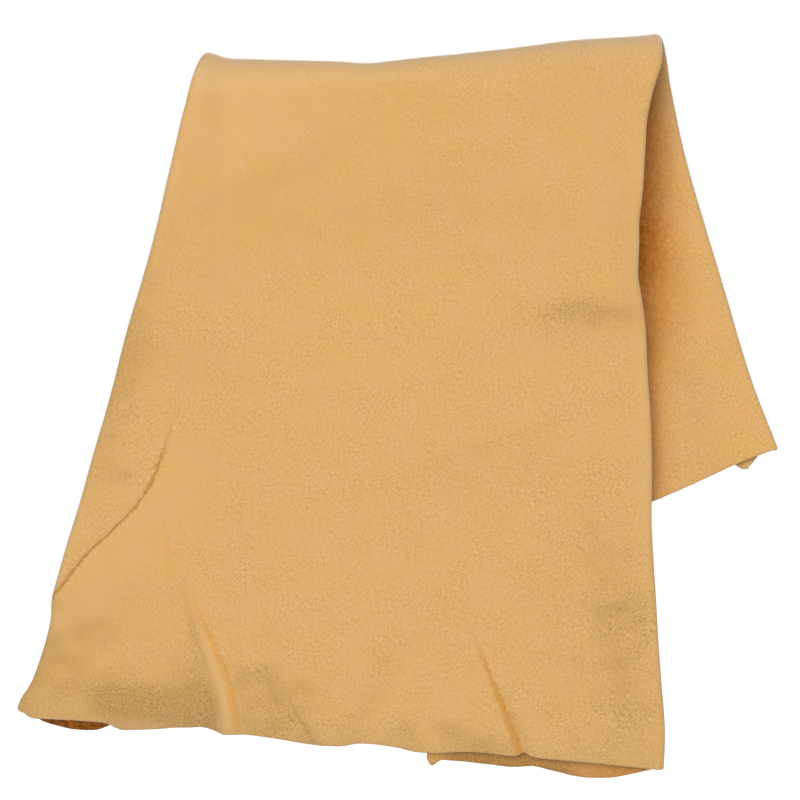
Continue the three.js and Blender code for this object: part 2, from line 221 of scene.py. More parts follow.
# Hems, by x
front_hem = curve(
    (FRONT_HEM_LEFT, 303.8), (-208.8, 305.5), (-206, 308.7), (-202.5, 310.2), (-195.9, 310.6),
    (-188.8, 311.2), (-180.5, 311.9), (-167.5, 313.5), (-163.5, 315.2), (-159.6, 318),
    (-152.5, 318.4), (-138, 318.3), (-131, 317.9), (-124, 318.2), (-116.8, 318.5), (-109.8, 321.8),
    (-102.7, 322.3), (-95.6, 321.8), (-88.5, 323.2), (-74.3, 326.6), (-60, 329.4), (-53, 329.6),
    (-45.9, 330.2), (-38.7, 329), (-31.6, 329.3), (-17.4, 332), (-10.3, 334.5), (0, 335.6),
    (12, 335.2), (26, 336.2), (38, 338.4), (42, 338.3), (45, 336.8), (48.5, 339.2), (60, 341.1),
    (85.6, 344.3), (FRONT_HEM_RIGHT, 349.4),
)
left_margin_hem = curve(
    (FRONT_HEM_LEFT, 304.5), (-209, 308.5), (-204.5, 314.6), (-198, 321), (-193, 324),
    (-187.5, 325.4), (-182.5, 325.7), (-177.5, 325), (-172, 322), (-164, 316.3), (-140, 308),
    (LEFT_FREE_HEM, 302),
)
right_margin_hem = curve(
    (RIGHT_FREE_HEM, 340.6), (-1.9, 343), (-0.8, 344.6), (0.6, 344.6), (2.4, 343), (5, 341.6),
    (11, 342.1), (18, 342.9), (25, 344.1), (32.4, 345.1), (39.5, 346.4), (46.6, 346.8),
    (53.8, 346.5), (61, 348.6), (68, 350.7), (75, 353), (82, 354.2), (89, 354.6), (96.6, 354.5),
    (103.8, 353.1), (111, 351.6), (FRONT_HEM_RIGHT, 349.7),
)

# Free edges of the margins, by drop
left_free = curve((CREASE_DROP, LEFT_FREE_TOP), (334, LEFT_FREE_HEM))
right_free = curve((CREASE_DROP, RIGHT_FREE_TOP), (334, RIGHT_FREE_HEM))
back_left_free = curve((CREASE_DROP, BACK_LEFT_FREE_TOP), (262, BACK_LEFT_FREE_HEM))
back_right_free = curve((CREASE_DROP, RIGHT_FREE_TOP), (187.5, BACK_RIGHT_FREE_HEM))

# Small rises and dips of the ridge, by x
ridge_trim = curve(
    (-101, 0.4), (-91, -1), (-80, 0), (-50, 0.2), (-32, 0.4), (-20, 0.15), (-8, 0.9), (4, 1.25),
    (16, 0.9), (28, 0.6), (40, 0.3), (64, 0.5), (76, 1), (88, 1), (100, 0.2), (112, -0.5), (124, -0.6),
)

# Lines of the front's creases: x by drop
VALLEY_DROPS = (150, 250)
PLEAT_HEIGHT = 4.3  # of the pleat's crest, at the hem
valley_line = curve(
    (150, -121.8), (160, -124.3), (178, -131.2), (196, -140.7), (212.5, -157), (226, -172),
    (235, -179.5), (244, -187.2), (250, -192),
)
faint_line = curve((206, -131.6), (220, -129.8), (232, -128.4), (246, -126.4))
pleat_line = curve(
    (246, -118.4), (253, -116.2), (263, -113), (276, -108), (290, -103.5), (301, -101),
    (315, -99.4), (326, -98.6),
)
pleat_height = curve((243, 0), (256, 0.5), (270, 1.2), (290, 2.3), (310, 3.6), (325, PLEAT_HEIGHT))
second_line = curve((293, -77.8), (310, -68.6), (330, -59))
groove_line = curve((266, 19.6), (274, 22.7), (291.6, 29.2), (310.7, 36.3), (332.5, 43.6), (340, 45.6))


def front_hem_line(x):
    return mix(*FRONT_LINE_DROPS, (x - FRONT_LINE_LEFT) / (FRONT_HEM_RIGHT - FRONT_LINE_LEFT))


def back_hem_line(x):
    return mix(*BACK_LINE_DROPS, (x - BACK_HEM_LEFT) / (BACK_HEM_RIGHT - BACK_HEM_LEFT))


def crown_radius(x, left):
    """The skin's distance from the rail's axis: least at the dip, and puffed at the left edge."""
    away = np.hypot(x - RIDGE_DIP_X, RIDGE_DIP_ROUND) - RIDGE_DIP_ROUND
    puff = LEFT_PUFF * bell(np.maximum(0.0, x - left), LEFT_PUFF_WIDTH)
    return DIP_RADIUS + RIDGE_SLOPE * away + puff + ridge_trim(x)


# Columns of the skin, from the left margin's free edge to the right margin's
FACE, FOLD, MARGIN = range(3)
VALLEY_AT, PLEAT_AT, GROOVE_AT = 0.08, 0.28, 0.74  # columns that run along a crease
face_places = steps(
    (0, 0.05, 6), (0.05, 0.11, 24), (0.11, 0.255, 24), (0.255, 0.305, 30), (0.305, 0.72, 36),
    (0.72, 0.76, 26), (0.76, 1, 22),
)
fold_places = steps((0, 1, 10))[1:]
left_margin_places = steps((0, 1, 30))[1:]
right_margin_places = steps((0, 0.9, 30), (0.9, 1, 12))[1:]
column_parts = [
    (MARGIN, -1, left_margin_places[::-1]),
    (FOLD, -1, fold_places[::-1]),
    (FACE, 0, face_places),
    (FOLD, 1, fold_places),
    (MARGIN, 1, right_margin_places),
]
column_list = [(part, hand, place) for part, hand, places in column_parts for place in places]
kind, side, place_at = np.array(column_list).T[:, None, :]
kind = kind.astype(int)
turn = place_at * math.pi  # the angle round a side fold
margin_share = np.where(kind == MARGIN, place_at, 0.0)
fold_inset = np.choose(kind, [0.0, FOLD_RADIUS * (1 - np.cos(turn)), 2 * FOLD_RADIUS])


def crease_share(line, low, high, drop):
    """A crease's place as a share of the face's width, held above low and below high."""
    drop = np.clip(drop, low, high)
    face_left = front_left(drop) + FOLD_REACH
    face_right = front_right(drop) - FOLD_REACH
    return (line(drop) - face_left) / (face_right - face_left)


VALLEY_SHARE_LEAST = 0.008
VALLEY_SHARE_BELOW = 0.06  # where the valley's column goes on down to the hem


def face_shares(drop):
    """Each column's share of the face's width, so that some columns run along creases."""
    valley = crease_share(valley_line, VALLEY_DROPS[0], 240, drop)
    valley = np.maximum(valley, VALLEY_SHARE_LEAST)
    valley = mix(valley, VALLEY_SHARE_BELOW, ramp(drop, 244, 294))
    pleat = crease_share(pleat_line, 246, 322, drop)
    groove = crease_share(groove_line, 266, 338, drop)
    at = place_at
    return np.select(
        [at <= VALLEY_AT, at <= PLEAT_AT, at <= GROOVE_AT],
        [
            at / VALLEY_AT * valley,
            mix(valley, pleat, (at - VALLEY_AT) / (PLEAT_AT - VALLEY_AT)),
            mix(pleat, groove, (at - PLEAT_AT) / (GROOVE_AT - PLEAT_AT)),
        ],
        mix(groove, 1.0, (at - GROOVE_AT) / (1 - GROOVE_AT)),
    )


HEM_SPREAD_DROP = 330  # columns are spread along the hem as at this drop
hem_shares = face_shares(HEM_SPREAD_DROP)
crown_shares = face_shares(CREASE_DROP)


def across(left, right, free_left, free_right, shares):
    """Places along rows: x, x of the form there, x where that form is held, and flat skin u."""
    face_left = left + FOLD_REACH
    face_right = right - FOLD_REACH
    edge = np.where(side < 0, face_left, face_right)
    free = np.where(side < 0, free_left, free_right)
    face_x = mix(face_left, face_right, shares)
    fold_x = edge + side * FOLD_RADIUS * np.sin(turn)
    margin_x = mix(edge, free, place_at)
    fold_u = edge + side * FOLD_RADIUS * turn
    margin_u = edge + side * (math.pi * FOLD_RADIUS + np.abs(margin_x - edge))
    x = np.choose(kind, [face_x, fold_x, margin_x])
    form_x = np.choose(kind, [face_x, edge, margin_x])
    held_x = np.choose(kind, [face_x, edge, edge])
    skin_u = np.choose(kind, [face_x, fold_u, margin_u])
    return x, form_x, held_x, skin_u


def inset_behind(drawn):
    """How far each column lies behind the face; drawn is how far the margins are drawn to it."""
    return mix(fold_inset, LEATHER + LAYER_AIR, ease(margin_share) * drawn)


# The front flap's creases. In each form, fine is the share of its sharp part.
VALLEY_DEPTH = 0.5
VALLEY_WALL = 1.3  # how steeply the lobe's wall stands over the crease
VALLEY_FLOOR = 5
VALLEY_FADE = 1 / 2.2  # share of the line over which it deepens
VALLEY_POINTS = 26
LOBE_HEIGHT = 1.15
LOBE_RISE = 5
LOBE_WIDTH = 24
valley_drops = np.linspace(*VALLEY_DROPS, VALLEY_POINTS)
valley_points = np.stack([valley_line(valley_drops), valley_drops], axis=1)


def valley_distance(x, drop):
    """Signed distance to the valley line, positive on its upper left, and the share along it."""
    best = np.full(x.shape, np.inf)
    signed = np.zeros(x.shape)
    along = np.zeros(x.shape)
    for i in range(len(valley_points) - 1):
        start = valley_points[i]
        run = valley_points[i + 1] - start
        from_x, from_drop = x - start[0], drop - start[1]
        t = np.clip((from_x * run[0] + from_drop * run[1]) / (run @ run), 0, 1)
        off_x, off_drop = from_x - t * run[0], from_drop - t * run[1]
        distance = np.hypot(off_x, off_drop)
        nearer = distance < best
        best = np.where(nearer, distance, best)
        sign = np.where(run[0] * off_drop - run[1] * off_x < 0, -1.0, 1.0)
        signed = np.where(nearer, sign * distance, signed)
        along = np.where(nearer, (i + t) / (len(valley_points) - 1), along)
    return signed, along


def valley_form(x, drop, fine):
    """A lobe over a crease that is steep on the lobe's side."""
    distance, along = valley_distance(x, drop)
    over = np.maximum(distance, 0)
    lobe = LOBE_HEIGHT * (1 - spike(over, LOBE_RISE)) * bell(over, LOBE_WIDTH)
    cut = VALLEY_DEPTH * spike(distance, np.where(distance > 0, VALLEY_WALL, VALLEY_FLOOR))
    return ramp(along, 0, VALLEY_FADE) * (lobe - fine * cut)


PLEAT_FOOT = 13  # from the pleat's line left to the foot of its crest, at the hem
PLEAT_FOOT_TOP = 0.55  # share of that at its upper end
PLEAT_FALL = 15  # how far its right side runs out
PLEAT_CREASE = 0.12  # depth of its sharp line, as a share of its height
PLEAT_CREASE_AT = 0.6
PLEAT_CREASE_WIDTH = 1.2
PLEAT_HOLLOW = 3.6  # depth of the hollows on both sides, at the hem
PLEAT_HOLLOW_WIDTH = 13
PLEAT_HOLLOW_DROPS = (258, 322)
RIGHT_HOLLOW_AT = 24  # from the pleat's line
RIGHT_HOLLOW_SHARE = 0.45
FAINT_DEPTH = 0.2
FAINT_WIDTH = 1.8
NICK_X = -112  # a small nick in the hem, left of the pleat
NICK_DEPTH = 1.5
NICK_WIDTH = 1.6


def pleat_form(x, drop, fine):
    """A low crest that grows towards the hem, with hollows beside it, a faint line and a nick."""
    beside = x - pleat_line(drop)
    height = pleat_height(drop)
    foot = -PLEAT_FOOT * mix(PLEAT_FOOT_TOP, 1.0, height / PLEAT_HEIGHT)
    flank = ramp(beside, foot, 0.5 * foot)
    fall = mix(1.0, 0.5 * bell(np.maximum(beside, 0), PLEAT_FALL), ramp(beside, -2.6, 1.8))
    crease = PLEAT_CREASE * spike(beside - PLEAT_CREASE_AT, PLEAT_CREASE_WIDTH)
    form = height * (np.minimum(flank, fall) - fine * crease)
    left_hollow = spike(np.maximum(foot - beside, 0), PLEAT_HOLLOW_WIDTH) * ramp(beside, 2, -3)
    right_hollow = RIGHT_HOLLOW_SHARE * bell(beside - RIGHT_HOLLOW_AT, PLEAT_HOLLOW_WIDTH)
    form = form - PLEAT_HOLLOW * ramp(drop, *PLEAT_HOLLOW_DROPS) * (left_hollow + right_hollow)
    faint = spike(x - faint_line(drop), FAINT_WIDTH) * ramp(drop, 205, 215) * ramp(drop, 252, 238)
    nick = spike(x - NICK_X, NICK_WIDTH) * ramp(drop, 307, 318)
    return form - fine * (FAINT_DEPTH * faint + NICK_DEPTH * nick)


SECOND_HEIGHT = 1
SECOND_WIDTH = 5
SECOND_DEPTH = 1.1
SECOND_CUT_WIDTH = 1.9
SECOND_DROPS = (288, 322)


def second_form(x, drop, fine):
    """A short crease right of the pleat, with a low rise beside it."""
    beside = x - second_line(drop)
    rise = SECOND_HEIGHT * bell(beside - SECOND_WIDTH, SECOND_WIDTH)
    cut = SECOND_DEPTH * spike(beside + 0.5, SECOND_CUT_WIDTH)
    return ramp(drop, *SECOND_DROPS) * (rise - fine * cut)


GROOVE_DEPTH = 1
SHOULDER_HEIGHT = 0.6
SHOULDER_AT = 10  # on either side of the groove's line
SHOULDER_WIDTH = 8
GROOVE_WIDTHS = (0.9, 2.0)  # at its upper end and at the hem
GROOVE_DROPS = (262, 338)


def groove_form(x, drop, fine):
    """A straight groove that opens towards the hem, between two low shoulders."""
    beside = x - groove_line(drop)
    growth = ramp(drop, *GROOVE_DROPS)
    cut = 1 / (1 + (beside / mix(*GROOVE_WIDTHS, growth)) ** 2)
    left = bell(beside + SHOULDER_AT, SHOULDER_WIDTH)
    right = 0.5 * bell(beside - SHOULDER_AT, SHOULDER_WIDTH)
    return growth * (SHOULDER_HEIGHT * (left + right) - GROOVE_DEPTH * mix(0.4, 1.0, fine) * cut)


# Soft hollows of the front, as strokes: x and drop at both ends, width, and strength; the material
# also paints them darker as shade
HOLLOW_DEPTH = 1.3
HOLLOWS = (
    # At the left
    (-155, 185, -147, 185, 6, 0.35), (-186, 267, -160, 265, 7, 0.45), (-191, 276, -180, 279, 6, 0.4),
    # Round the pleat
    (-121, 251, -113.5, 292, 3, 0.35), (-100, 292, -78, 289, 6, 0.45), (-84, 294, -58, 300, 6, 0.3),
    (-101, 302, -64, 311, 8, 0.42), (-82, 298, -64, 326, 3, 0.35),
    # Above the hem, as far as the groove
    (-41.5, 323, -15.4, 277, 8, 0.22), (-17, 320, -11, 328, 5, 0.4), (4.4, 321, 15.4, 326, 5, 0.35),
    (37, 310, 45, 328, 3.5, 0.3),
    # At the right
    (68, 110, 104, 112, 7, 0.5), (90, 263, 108, 268, 6, 0.5), (93, 270, 98.7, 317, 10, 0.25),
    # Across the middle
    (-27, 84.4, 50, 80.6, 3, 0.1), (-11, 192, 96, 155, 3.5, 0.16),
)
# Painted shade and light on the front, as the same kind of strokes: darker ones, and paler ones below
# 0
SHADE_AND_LIGHT_STROKES = (
    # Upper left
    (-101, -2, -103, 25, 7, -0.35), (-100, 6, -55, 5, 8, -0.15), (-95, 20, -50, 35, 26, -0.5),
    (-92, 46, -48, 28, 16, 0.47), (-75, 36, -30, 26, 14, 0.12), (-90, 60, -20, 50, 20, 0.1),
    (-70, 66, 0, 52, 18, 0.16), (-112, 85, -95, 85, 12, 0.12), (-138, 122, -95, 130, 14, 0.14),
    (-136, 95, -160, 174, 12, 0.46),
    # Upper right
    (72, -4, 110, -6, 8, 0.14), (60, 5, 110, 25, 16, 0.05), (100, 40, 112, 120, 8, 0.16),
    (10, 62, 40, 50, 16, 0.1), (60, 62, 95, 66, 16, 0.12), (55, 120, 106, 114, 14, 0.17),
    # Middle
    (20, 158, 62, 150, 15, -0.18), (50, 176, 72, 184, 10, 0.14), (8, 188, 32, 196, 16, 0.13),
    (-64, 246, 2, 249, 28, -0.3),
    # Lower right
    (82, 215, 96, 250, 14, 0.17), (55, 235, 68, 255, 16, 0.1), (92, 232, 112, 310, 15, 0.12),
    (70, 285, 105, 325, 24, 0.16),
    # Lower left
    (-194, 244, -184, 250, 5, 0.3), (-175, 249, -125, 247, 9, 0.12), (-185, 280, -125, 285, 28, 0.14),
    (-200, 282, -186, 290, 8, 0.2), (-198, 290, -142, 301, 10, 0.4), (-208, 299, -204, 306, 6, 0.3),
    (-140, 308, -120, 314, 7, 0.25),
    # Round the pleat, and above the hem
    (-119, 306, -117, 319, 7, 0.4), (-107, 285, -103, 318, 5, -0.25), (-97, 314, -75, 322, 7, 0.45),
    (14, 330, 40, 336, 6, 0.65),
)


def strokes(x, drop, table):
    """Soft strokes that fade towards their ends, a little uneven."""
    total = np.zeros(np.broadcast(x, drop).shape)
    for x_from, drop_from, x_to, drop_to, width, strength in table:
        run_x, run_drop = x_to - x_from, drop_to - drop_from
        length = math.hypot(run_x, run_drop)
        from_x, from_drop = x - (x_from + x_to) / 2, drop - (drop_from + drop_to) / 2
        along = (from_x * run_x + from_drop * run_drop) / length
        off = (from_x * run_drop - from_drop * run_x) / length
        total += strength * bell(along, 0.58 * length + 0.4 * width) * bell(off, width)
    return total * (1.1 + 0.4 * ripples(x, drop, length=16, seed=21))


def belly(drop, hem):
    """A flap bulges a little between its crease and its hem."""
    down = np.clip((drop - CREASE_DROP) / (hem - CREASE_DROP), 0, 1)
    return BELLY * np.sin(math.pi * down) ** 2


def front_form(x, drop, fine):
    """How far the front flap stands out at x and drop."""
    forms = (valley_form, pleat_form, second_form, groove_form)
    creases = sum(form(x, drop, fine) for form in forms)
    return belly(drop, front_hem_line(x)) + creases - HOLLOW_DEPTH * strokes(x, drop, HOLLOWS)


def hem_roll(x, drop):
    """The hem turns in, most of all at its left."""
    reach = mix(HEM_ROLL_LEFT, HEM_ROLL_RIGHT, ramp(x, -150, -20))
    return reach * np.clip(1 + (drop - front_hem_line(x)) / HEM_ROLL_HEIGHT, 0, None) ** 2


def crown_hold(drop):
    """How much of the crown's form a flap still has at a drop."""
    return 1 - ease((drop - CREASE_DROP) / SETTLE)


def flap_depth(x, left, drop):
    return mix(FLAP_DEPTH, crown_radius(x, left), crown_hold(drop))


def sway(x, run):
    """Slight waves of the leather; run is the length from the ridge along the skin."""
    return 0.5 * ripples(x, run, length=95, seed=3) + 0.14 * ripples(x, run, length=30, seed=8)


def front_points(rows):
    """Points in space and on the flat skin; rows are shares from the crease to the hem."""
    face_x = mix(FRONT_HEM_LEFT + FOLD_REACH, FRONT_HEM_RIGHT - FOLD_REACH, hem_shares)
    fold_hem = np.where(
        side < 0,
        mix(front_hem(FRONT_HEM_LEFT + FOLD_REACH), front_hem(FRONT_HEM_LEFT), place_at),
        mix(front_hem(FRONT_HEM_RIGHT - FOLD_REACH), right_margin_hem(FRONT_HEM_RIGHT), place_at),
    )
    margin_hem = np.where(
        side < 0,
        left_margin_hem(mix(FRONT_HEM_LEFT, LEFT_FREE_HEM, place_at)),
        right_margin_hem(mix(FRONT_HEM_RIGHT, RIGHT_FREE_HEM, place_at)),
    )
    hem = np.choose(kind, [front_hem(face_x), fold_hem, margin_hem])
    drop = mix(CREASE_DROP, hem, rows[:, None])
    left = front_left(drop)
    x, form_x, held_x, skin_u = across(
        left, front_right(drop), left_free(drop), right_free(drop), face_shares(drop)
    )
    loop = LEFT_LOOP * bell(x - LEFT_LOOP_X, LEFT_LOOP_WIDTH) * ramp(drop, *LEFT_LOOP_DROPS)
    loop = loop * (side < 0) * ramp(margin_share, 0, LEFT_LOOP_SPREAD)
    inset = inset_behind(crown_hold(drop)) + loop
    off_fold = ramp(margin_share, 0, MARGIN_GRIP)
    form = front_form(mix(held_x, form_x, off_fold), drop, 1 - off_fold)
    form = mix(1, MARGIN_FOLLOW, off_fold) * form
    run = -(QUARTER + drop)
    form = form - hem_roll(form_x, drop) + sway(form_x, run)
    places = np.stack([x, inset - form - flap_depth(form_x, left, drop), -drop], axis=-1)
    return places, np.stack([skin_u, run], axis=-1)


def back_points(rows):
    """Points and rows as above."""
    corner = np.where(side < 0, BACK_HEM_LEFT, BACK_HEM_RIGHT)
    free = np.where(side < 0, BACK_LEFT_FREE_HEM, BACK_RIGHT_FREE_HEM)
    face_x = mix(BACK_HEM_LEFT, BACK_HEM_RIGHT, crown_shares)
    tip = BACK_TIP * bell(face_x - BACK_TIP_X, BACK_TIP_WIDTH)
    hem = back_hem_line(np.choose(kind, [face_x, corner, mix(corner, free, place_at)]))
    hem = hem + np.where(kind == FACE, tip, 0.0)
    drop = mix(CREASE_DROP, hem, rows[:, None])
    left = back_left(drop)
    x, form_x, _, skin_u = across(
        left, back_right(drop), back_left_free(drop), back_right_free(drop), crown_shares
    )
    loose = BACK_LOOSE * bell(x - BACK_LOOSE_X, BACK_LOOSE_WIDTH) * ramp(drop, *BACK_LOOSE_DROPS)
    loose = loose * (side > 0) * ramp(margin_share, 0, BACK_LOOSE_SPREAD)
    inset = inset_behind(crown_hold(drop)) + loose
    run = QUARTER + drop
    form = belly(drop, back_hem_line(form_x)) + sway(form_x, run)
    places = np.stack([x, flap_depth(form_x, left, drop) + form - inset, -drop], axis=-1)
    return places, np.stack([skin_u, run], axis=-1)


def crown_points(angles, drops):
    """Points as above; a row has an angle from the top, and a drop at the rail's front or back."""
    angles, drops = angles[:, None], drops[:, None]
    run = np.sign(angles) * (np.abs(angles) * DIP_RADIUS + drops)
    way = run / (QUARTER + CREASE_DROP)
    left = crown_left(way)
    free_left = mix(LEFT_FREE_TOP, BACK_LEFT_FREE_TOP, (way + 1) / 2)
    x, form_x, _, skin_u = across(left, crown_right(way), free_left, RIGHT_FREE_TOP, crown_shares)
    radius = crown_radius(form_x, left) + sway(form_x, run) - inset_behind(1.0)
    places = np.stack([x, radius * np.sin(angles), radius * np.cos(angles) - drops], axis=-1)
    return places, np.stack([skin_u, np.broadcast_to(run, x.shape)], axis=-1)


# The whole skin, from the front hem up, over the rail and down to the back hem
front_rows = steps((0, 0.06, 8), (0.06, 0.42, 28), (0.42, 0.78, 72), (0.78, 1, 66))
back_rows = steps((0, 0.06, 6), (0.06, 0.9, 56), (0.9, 1, 14))
side_drops = steps((CREASE_DROP, 0, 4))[1:-1]
round_angles = steps((-math.pi / 2, math.pi / 2, 36))
crown_angles = np.pad(round_angles, len(side_drops), "edge")
crown_drops = np.concatenate([side_drops, np.zeros(len(round_angles)), side_drops[::-1]])
made = [
    front_points(front_rows[::-1]),
    crown_points(crown_angles, crown_drops),
    back_points(back_rows),
]
points = np.concatenate([places for places, _ in made])
skin = np.concatenate([flat for _, flat in made])
front_crease = len(front_rows) - 1
back_crease = len(front_rows) + len(crown_angles)


def tangents(grid, axis):
    """Unit directions along an axis of the grid; the nearer neighbour counts for more."""
    grid = np.moveaxis(grid, axis, 0)
    span = np.diff(grid, axis=0)
    length = np.maximum(np.linalg.norm(span, axis=-1, keepdims=True), 1e-9)
    way = span / length
    before, after = length[:-1], length[1:]
    middle = (way[:-1] * after + way[1:] * before) / (before + after)
    return np.moveaxis(unit(np.concatenate([way[:1], middle, way[-1:]])), 0, axis)


along_row = tangents(points, 1)
up_column = tangents(points, 0)
normals = unit(np.cross(along_row, up_column))


def skin_marks(x, drop, row):
    """Masks for the material: how much the nap stands, painted shade, and a pale mark of painted light
    and worn nap.
    """
    over_crown = (back_crease - row) / (back_crease - front_crease)
    on_front = np.where(kind == MARGIN, 0.0, ease(2 * over_crown))
    from_left = x - front_left(drop)
    from_right = x - front_right(drop)
    from_hem_line = front_hem_line(x) - drop
    from_hem = front_hem(x) - drop

    # The shelf under the valley, the pleat's crest and the hollow at its left foot
    distance, along = valley_distance(x, drop)
    shelf = np.where(distance < 0, bell(distance + 14, 16), 0) * ramp(along, 0, 0.4)
    beside = x - pleat_line(drop)
    growth = pleat_height(drop) / PLEAT_HEIGHT
    crest = bell(beside + mix(2.4, 6.2, growth), mix(1.8, 4.6, growth)) * ramp(drop, 250, 274)
    past_foot = -PLEAT_FOOT - beside
    left_hollow = np.where(past_foot > 0, bell(past_foot, 15), ramp(past_foot, -4, 0))
    left_hollow = left_hollow * ramp(drop, 268, 313)

    # Along the hem, the side folds and the ridge
    hem_band = ramp(from_hem_line, 30, 15) * ramp(x, -178, -163) * ramp(x, -102, -114)
    hem_band = hem_band * mix(0.4, 1.0, ramp(from_hem_line, 0, 10))
    hem_edge = ramp(from_hem, 5, 0) * ramp(x, -120, -105) * ramp(x, 8, -7)
    left_rim = ramp(from_left, 10, 1) * ramp(drop, 10, 50)
    right_rim = ramp(from_right, -10, -5) * ramp(drop, 10, 35) * ramp(drop, 270, 210)
    ridge_start = mix(-1, -8, ramp(x, -20, 90))
    ridge = ramp(drop, ridge_start, ridge_start - 11)

    # The nap stands in hollows and low at the right, and lies flat where it is worn
    hollows = np.clip(left_hollow + 0.85 * hem_band, 0, 1)
    spots = strokes(x, drop, HOLLOWS)
    shade_and_light = strokes(x, drop, SHADE_AND_LIGHT_STROKES)
    worn = 0.5 * ramp(drop, 150, 0) * ramp(x, 30, -100) + 0.3 * ramp(drop, 120, 30)
    worn = np.clip(worn + 0.85 * shelf + 0.9 * crest + 0.6 * right_rim, 0, 0.85)
    right_nap = 0.35 * ramp(x, 20, 90) * ramp(drop, 130, 240)
    left_nap = 0.25 * ramp(x, -120, -170) * ramp(drop, 240, 260)
    nap = 1 + on_front * (0.6 * np.clip(hollows + spots, 0, 1) + right_nap - left_nap - worn)
    nap = np.clip(nap, 0.15, 1.7)

    # Painted shade: darker in the hollows, along the rolled hem and its edge, at the left fold, and in
    # the darker strokes
    shade = 0.95 * hollows + spots + shade_and_light + 0.3 * hem_edge
    shade = shade + mix(0.12, 0.36, ramp(drop, 230, 290)) * left_rim
    shade = on_front * np.clip(shade, 0, 1)
    # Painted light: paler on the ridge, along the side rims and in the paler strokes, as sheen and
    # light falling there; paler also on the pleat's crest and the shelf, with their flatter nap
    painted_light_and_wear = 0.3 * crest + 0.13 * shelf + 0.19 * right_rim + 0.6 * left_rim + 0.95 * ridge
    painted_light_and_wear = on_front * np.clip(painted_light_and_wear - 0.6 * shade_and_light, 0, 1)

    # The strip of the right margin that shows below the hem lies in the hem's shade, painted darker on
    # its inner side
    strip = (kind == MARGIN) * (side > 0) * (row < front_crease) * ramp(drop, 322, 332)
    under_hem = mix(0.9, 0.1, ramp(from_hem, 0, -8))
    strip = strip * mix(0.2, 1.0, ramp(x, 2, 12)) * mix(1.65, under_hem, ramp(x, 64, 80))
    return {"nap": (nap, nap), "shade": (shade, shade + strip), "painted_light_and_wear": (painted_light_and_wear, painted_light_and_wear)}


# The painted shade between the flaps, by drop: its reach past the front's right fold, and its strength
inside_reach = curve(
    (4, 15), (14, 18), (30, 28), (58, 35), (82, 35), (96, 40), (110, 40), (135, 27), (160, 18)
)
inside_most = curve(
    (16, 1), (40, 1), (62, 1.05), (76, 1.3), (89, 1.3), (102, 0.95), (130, 0.75)
)
BEHIND_ROWS = 45  # rows past the front crease, over which the dark moves to the back flap


def inside_marks(x, drop, row):
    """Painted shade where faces lie out of the light: between the flaps (1) and in the left loop (2).
    """
    folded_in = np.choose(kind, [0.0, 0.7 * ramp(place_at, 0.5, 0.8), 1.0])
    behind = ramp(row, front_crease, front_crease + BEHIND_ROWS)
    past_fold = x - front_right(drop)
    shown = ramp(past_fold, 0, inside_reach(drop))
    shown = behind * mix(shown, 1.0, 0.35 * ramp(drop, 135, 180))
    near = (side > 0) * mix(1.0, mix(0.3, 1.0, ramp(past_fold, -120, 0)), behind)
    between = near * (1 - shown) * inside_most(drop)
    between = mix(0.12, between, ramp(row, front_crease, front_crease + 3))
    # The strip of the right margin below the front's hem is painted darker and warmer too, as shade
    strip = ramp(drop, 300, 330) * (side > 0) * (1 - behind)
    face_in = mix(between, mix(0.15, 0.5, ramp(x, 60, 95)), strip)
    loop = folded_in * (side < 0) * (1 - behind) * ramp(drop, 285, 307)
    face_in = mix(face_in, mix(1.8, 2.0, ramp(x, -192, -174)), loop)
    return {"inside_shade": (folded_in * between, face_in)}


# Each mark has its values on the outer and on the inner side of the leather
grid_places = (points[..., 0], -points[..., 2], np.arange(len(points))[:, None])
marks = skin_marks(*grid_places) | inside_marks(*grid_places)


def add_object(name, data):
    thing = bpy.data.objects.new(name, data)
    bpy.context.scene.collection.objects.link(thing)
    return thing


MAP_PAD = 6  # room round each side of the leather on its flat map
INNER_SHIFT = 0.4  # the inner side takes its pattern from another layer, in metres


def perimeter(rows, columns):
    """Grid places round the edge, in order, as row and column numbers."""
    ring = [(0, j) for j in range(columns)]
    ring += [(i, columns - 1) for i in range(1, rows)]
    ring += [(rows - 1, j) for j in range(columns - 2, -1, -1)]
    ring += [(i, 0) for i in range(rows - 2, 0, -1)]
    return tuple(np.array(ring).T)


def edge_ways(part, cut_rows):
    """Directions out of the free edges of some rows, in space and on the flat skin; 0 elsewhere."""
    up, along = up_column[part], along_row[part]
    rows, columns = up.shape[:2]
    out = np.zeros((rows, columns, 3))
    out_flat = np.zeros((rows, columns, 2))
    for end, sign in ((0, -1.0), (rows - 1, 1.0)):
        if end not in cut_rows:
            out[end] += sign * up[end]
            out_flat[end, :, 1] += sign
    for end, sign in ((0, -1.0), (columns - 1, 1.0)):
        out[:, end] += sign * along[:, end]
        out_flat[:, end, 0] += sign
    return unit(out), out_flat


def sheet_faces(rows, columns, ring):
    """Faces of the outer side, the inner side, and from each of them round to the lip."""
    count = rows * columns
    index = np.arange(count).reshape(rows, columns)
    corners = [index[:-1, :-1], index[:-1, 1:], index[1:, 1:], index[1:, :-1]]
    outer = np.stack(corners, axis=-1).reshape(-1, 4)
    inner = outer[:, ::-1] + count
    edge = index[ring]
    lip = 2 * count + np.arange(len(edge))
    after = np.roll(edge, -1)
    lip_after = np.roll(lip, -1)
    rim_outer = np.stack([after, edge, lip, lip_after], axis=-1)
    rim_inner = np.stack([lip_after, lip, edge + count, after + count], axis=-1)
    return outer, inner, rim_outer, rim_inner


